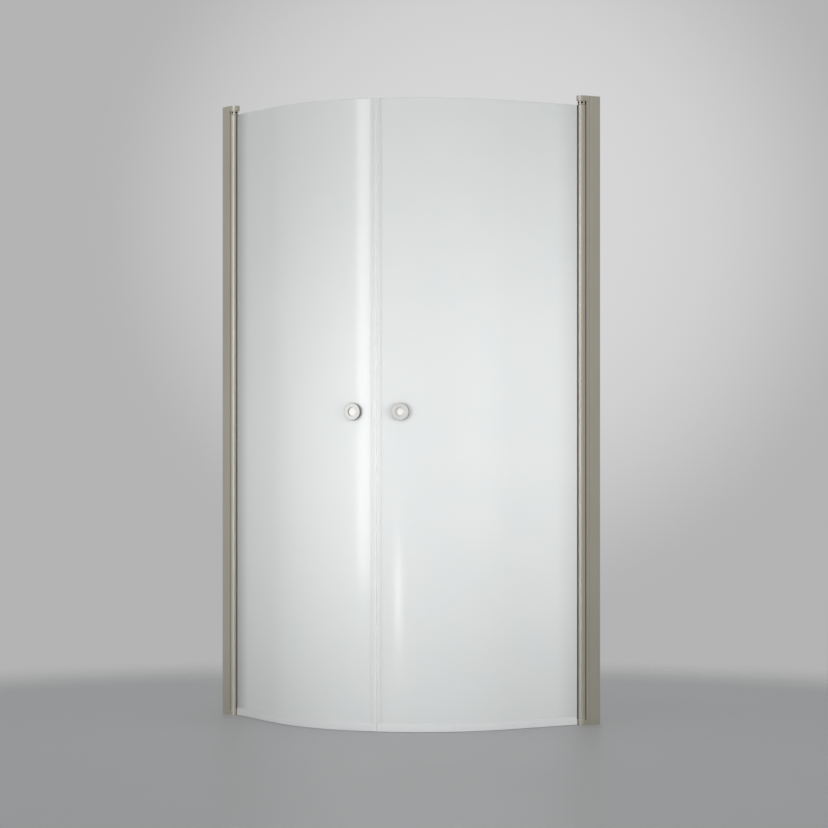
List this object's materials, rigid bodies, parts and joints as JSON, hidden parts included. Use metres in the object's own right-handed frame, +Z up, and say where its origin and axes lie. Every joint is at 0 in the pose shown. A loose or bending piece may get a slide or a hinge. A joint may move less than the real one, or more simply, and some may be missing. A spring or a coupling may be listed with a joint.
{
  "type": "shower screen",
  "caption": "Quadrant corner shower screen: curved frosted glass doors on pivot tubes in satin metal wall profiles, with ring knobs and clear seals.",
  "frame": {"origin": "on the floor, in the middle of the square that the screen fills in the corner", "axes": "+Z up; the two walls are the planes of largest X and largest Y; the doors face -X and -Y"},
  "size_m": [0.896, 0.896, 2],
  "materials": {
    "satin_nickel": "satin anodised, warm grey",
    "knob_nickel": "satin",
    "polished_insert": "polished, finely turned",
    "frosted_glass": "frosted on one face, polished edges",
    "clear_plastic": "clear soft PVC",
    "black_rubber": "matt",
    "white_plastic": "smooth moulded",
    "nickel_plastic": "moulded to match the metal",
    "steel": "bright stainless",
    "magnet": "matt magnetic strip in a pale skin"
  },
  "bodies": {
    "wall_frame": {"left_wall_channel": "satin_nickel", "left_hinge_post": "satin_nickel", "left_hinge_seal": "black_rubber", "left_top_bracket": "satin_nickel", "left_foot_block": "satin_nickel", "left_upper_pin": "steel", "left_lower_pin": "steel", "left_adjuster_ring": "satin_nickel", "left_thrust_washer": "white_plastic", "left_channel_cap": "nickel_plastic", "right_wall_channel": "satin_nickel", "right_hinge_post": "satin_nickel", "right_hinge_seal": "black_rubber", "right_top_bracket": "satin_nickel", "right_foot_block": "satin_nickel", "right_upper_pin": "steel", "right_lower_pin": "steel", "right_adjuster_ring": "satin_nickel", "right_thrust_washer": "white_plastic", "right_channel_cap": "nickel_plastic", "adjusting_screws": "steel"},
    "left_door": {"left_pivot_tube": "satin_nickel", "left_upper_plug": "white_plastic", "left_lower_plug": "white_plastic", "left_glazing_gasket": "black_rubber", "left_glass": "frosted_glass", "left_meeting_seal": "clear_plastic", "left_magnet_strip": "magnet", "left_bottom_seal": "clear_plastic", "left_outer_knob": "knob_nickel", "left_inner_knob": "knob_nickel", "left_outer_insert": "polished_insert", "left_inner_insert": "polished_insert", "left_knob_stud": "steel", "left_knob_sleeve": "white_plastic", "left_outer_washer": "clear_plastic", "left_inner_washer": "clear_plastic"},
    "right_door": {"right_pivot_tube": "satin_nickel", "right_upper_plug": "white_plastic", "right_lower_plug": "white_plastic", "right_glazing_gasket": "black_rubber", "right_glass": "frosted_glass", "right_meeting_seal": "clear_plastic", "right_magnet_strip": "magnet", "right_bottom_seal": "clear_plastic", "right_outer_knob": "knob_nickel", "right_inner_knob": "knob_nickel", "right_outer_insert": "polished_insert", "right_inner_insert": "polished_insert", "right_knob_stud": "steel", "right_knob_sleeve": "white_plastic", "right_outer_washer": "clear_plastic", "right_inner_washer": "clear_plastic"}
  },
  "joints": [
    {"name": "left_hinge", "type": "hinge", "parent": "wall_frame", "child": "left_door", "pos_m": [-0.4345, 0.38602, 0], "axis": [0, 0, -1], "range_deg": [-75, 95]},
    {"name": "right_hinge", "type": "hinge", "parent": "wall_frame", "child": "right_door", "pos_m": [0.38602, -0.4345, 0], "axis": [0, 0, 1], "range_deg": [-75, 95]}
  ]
}
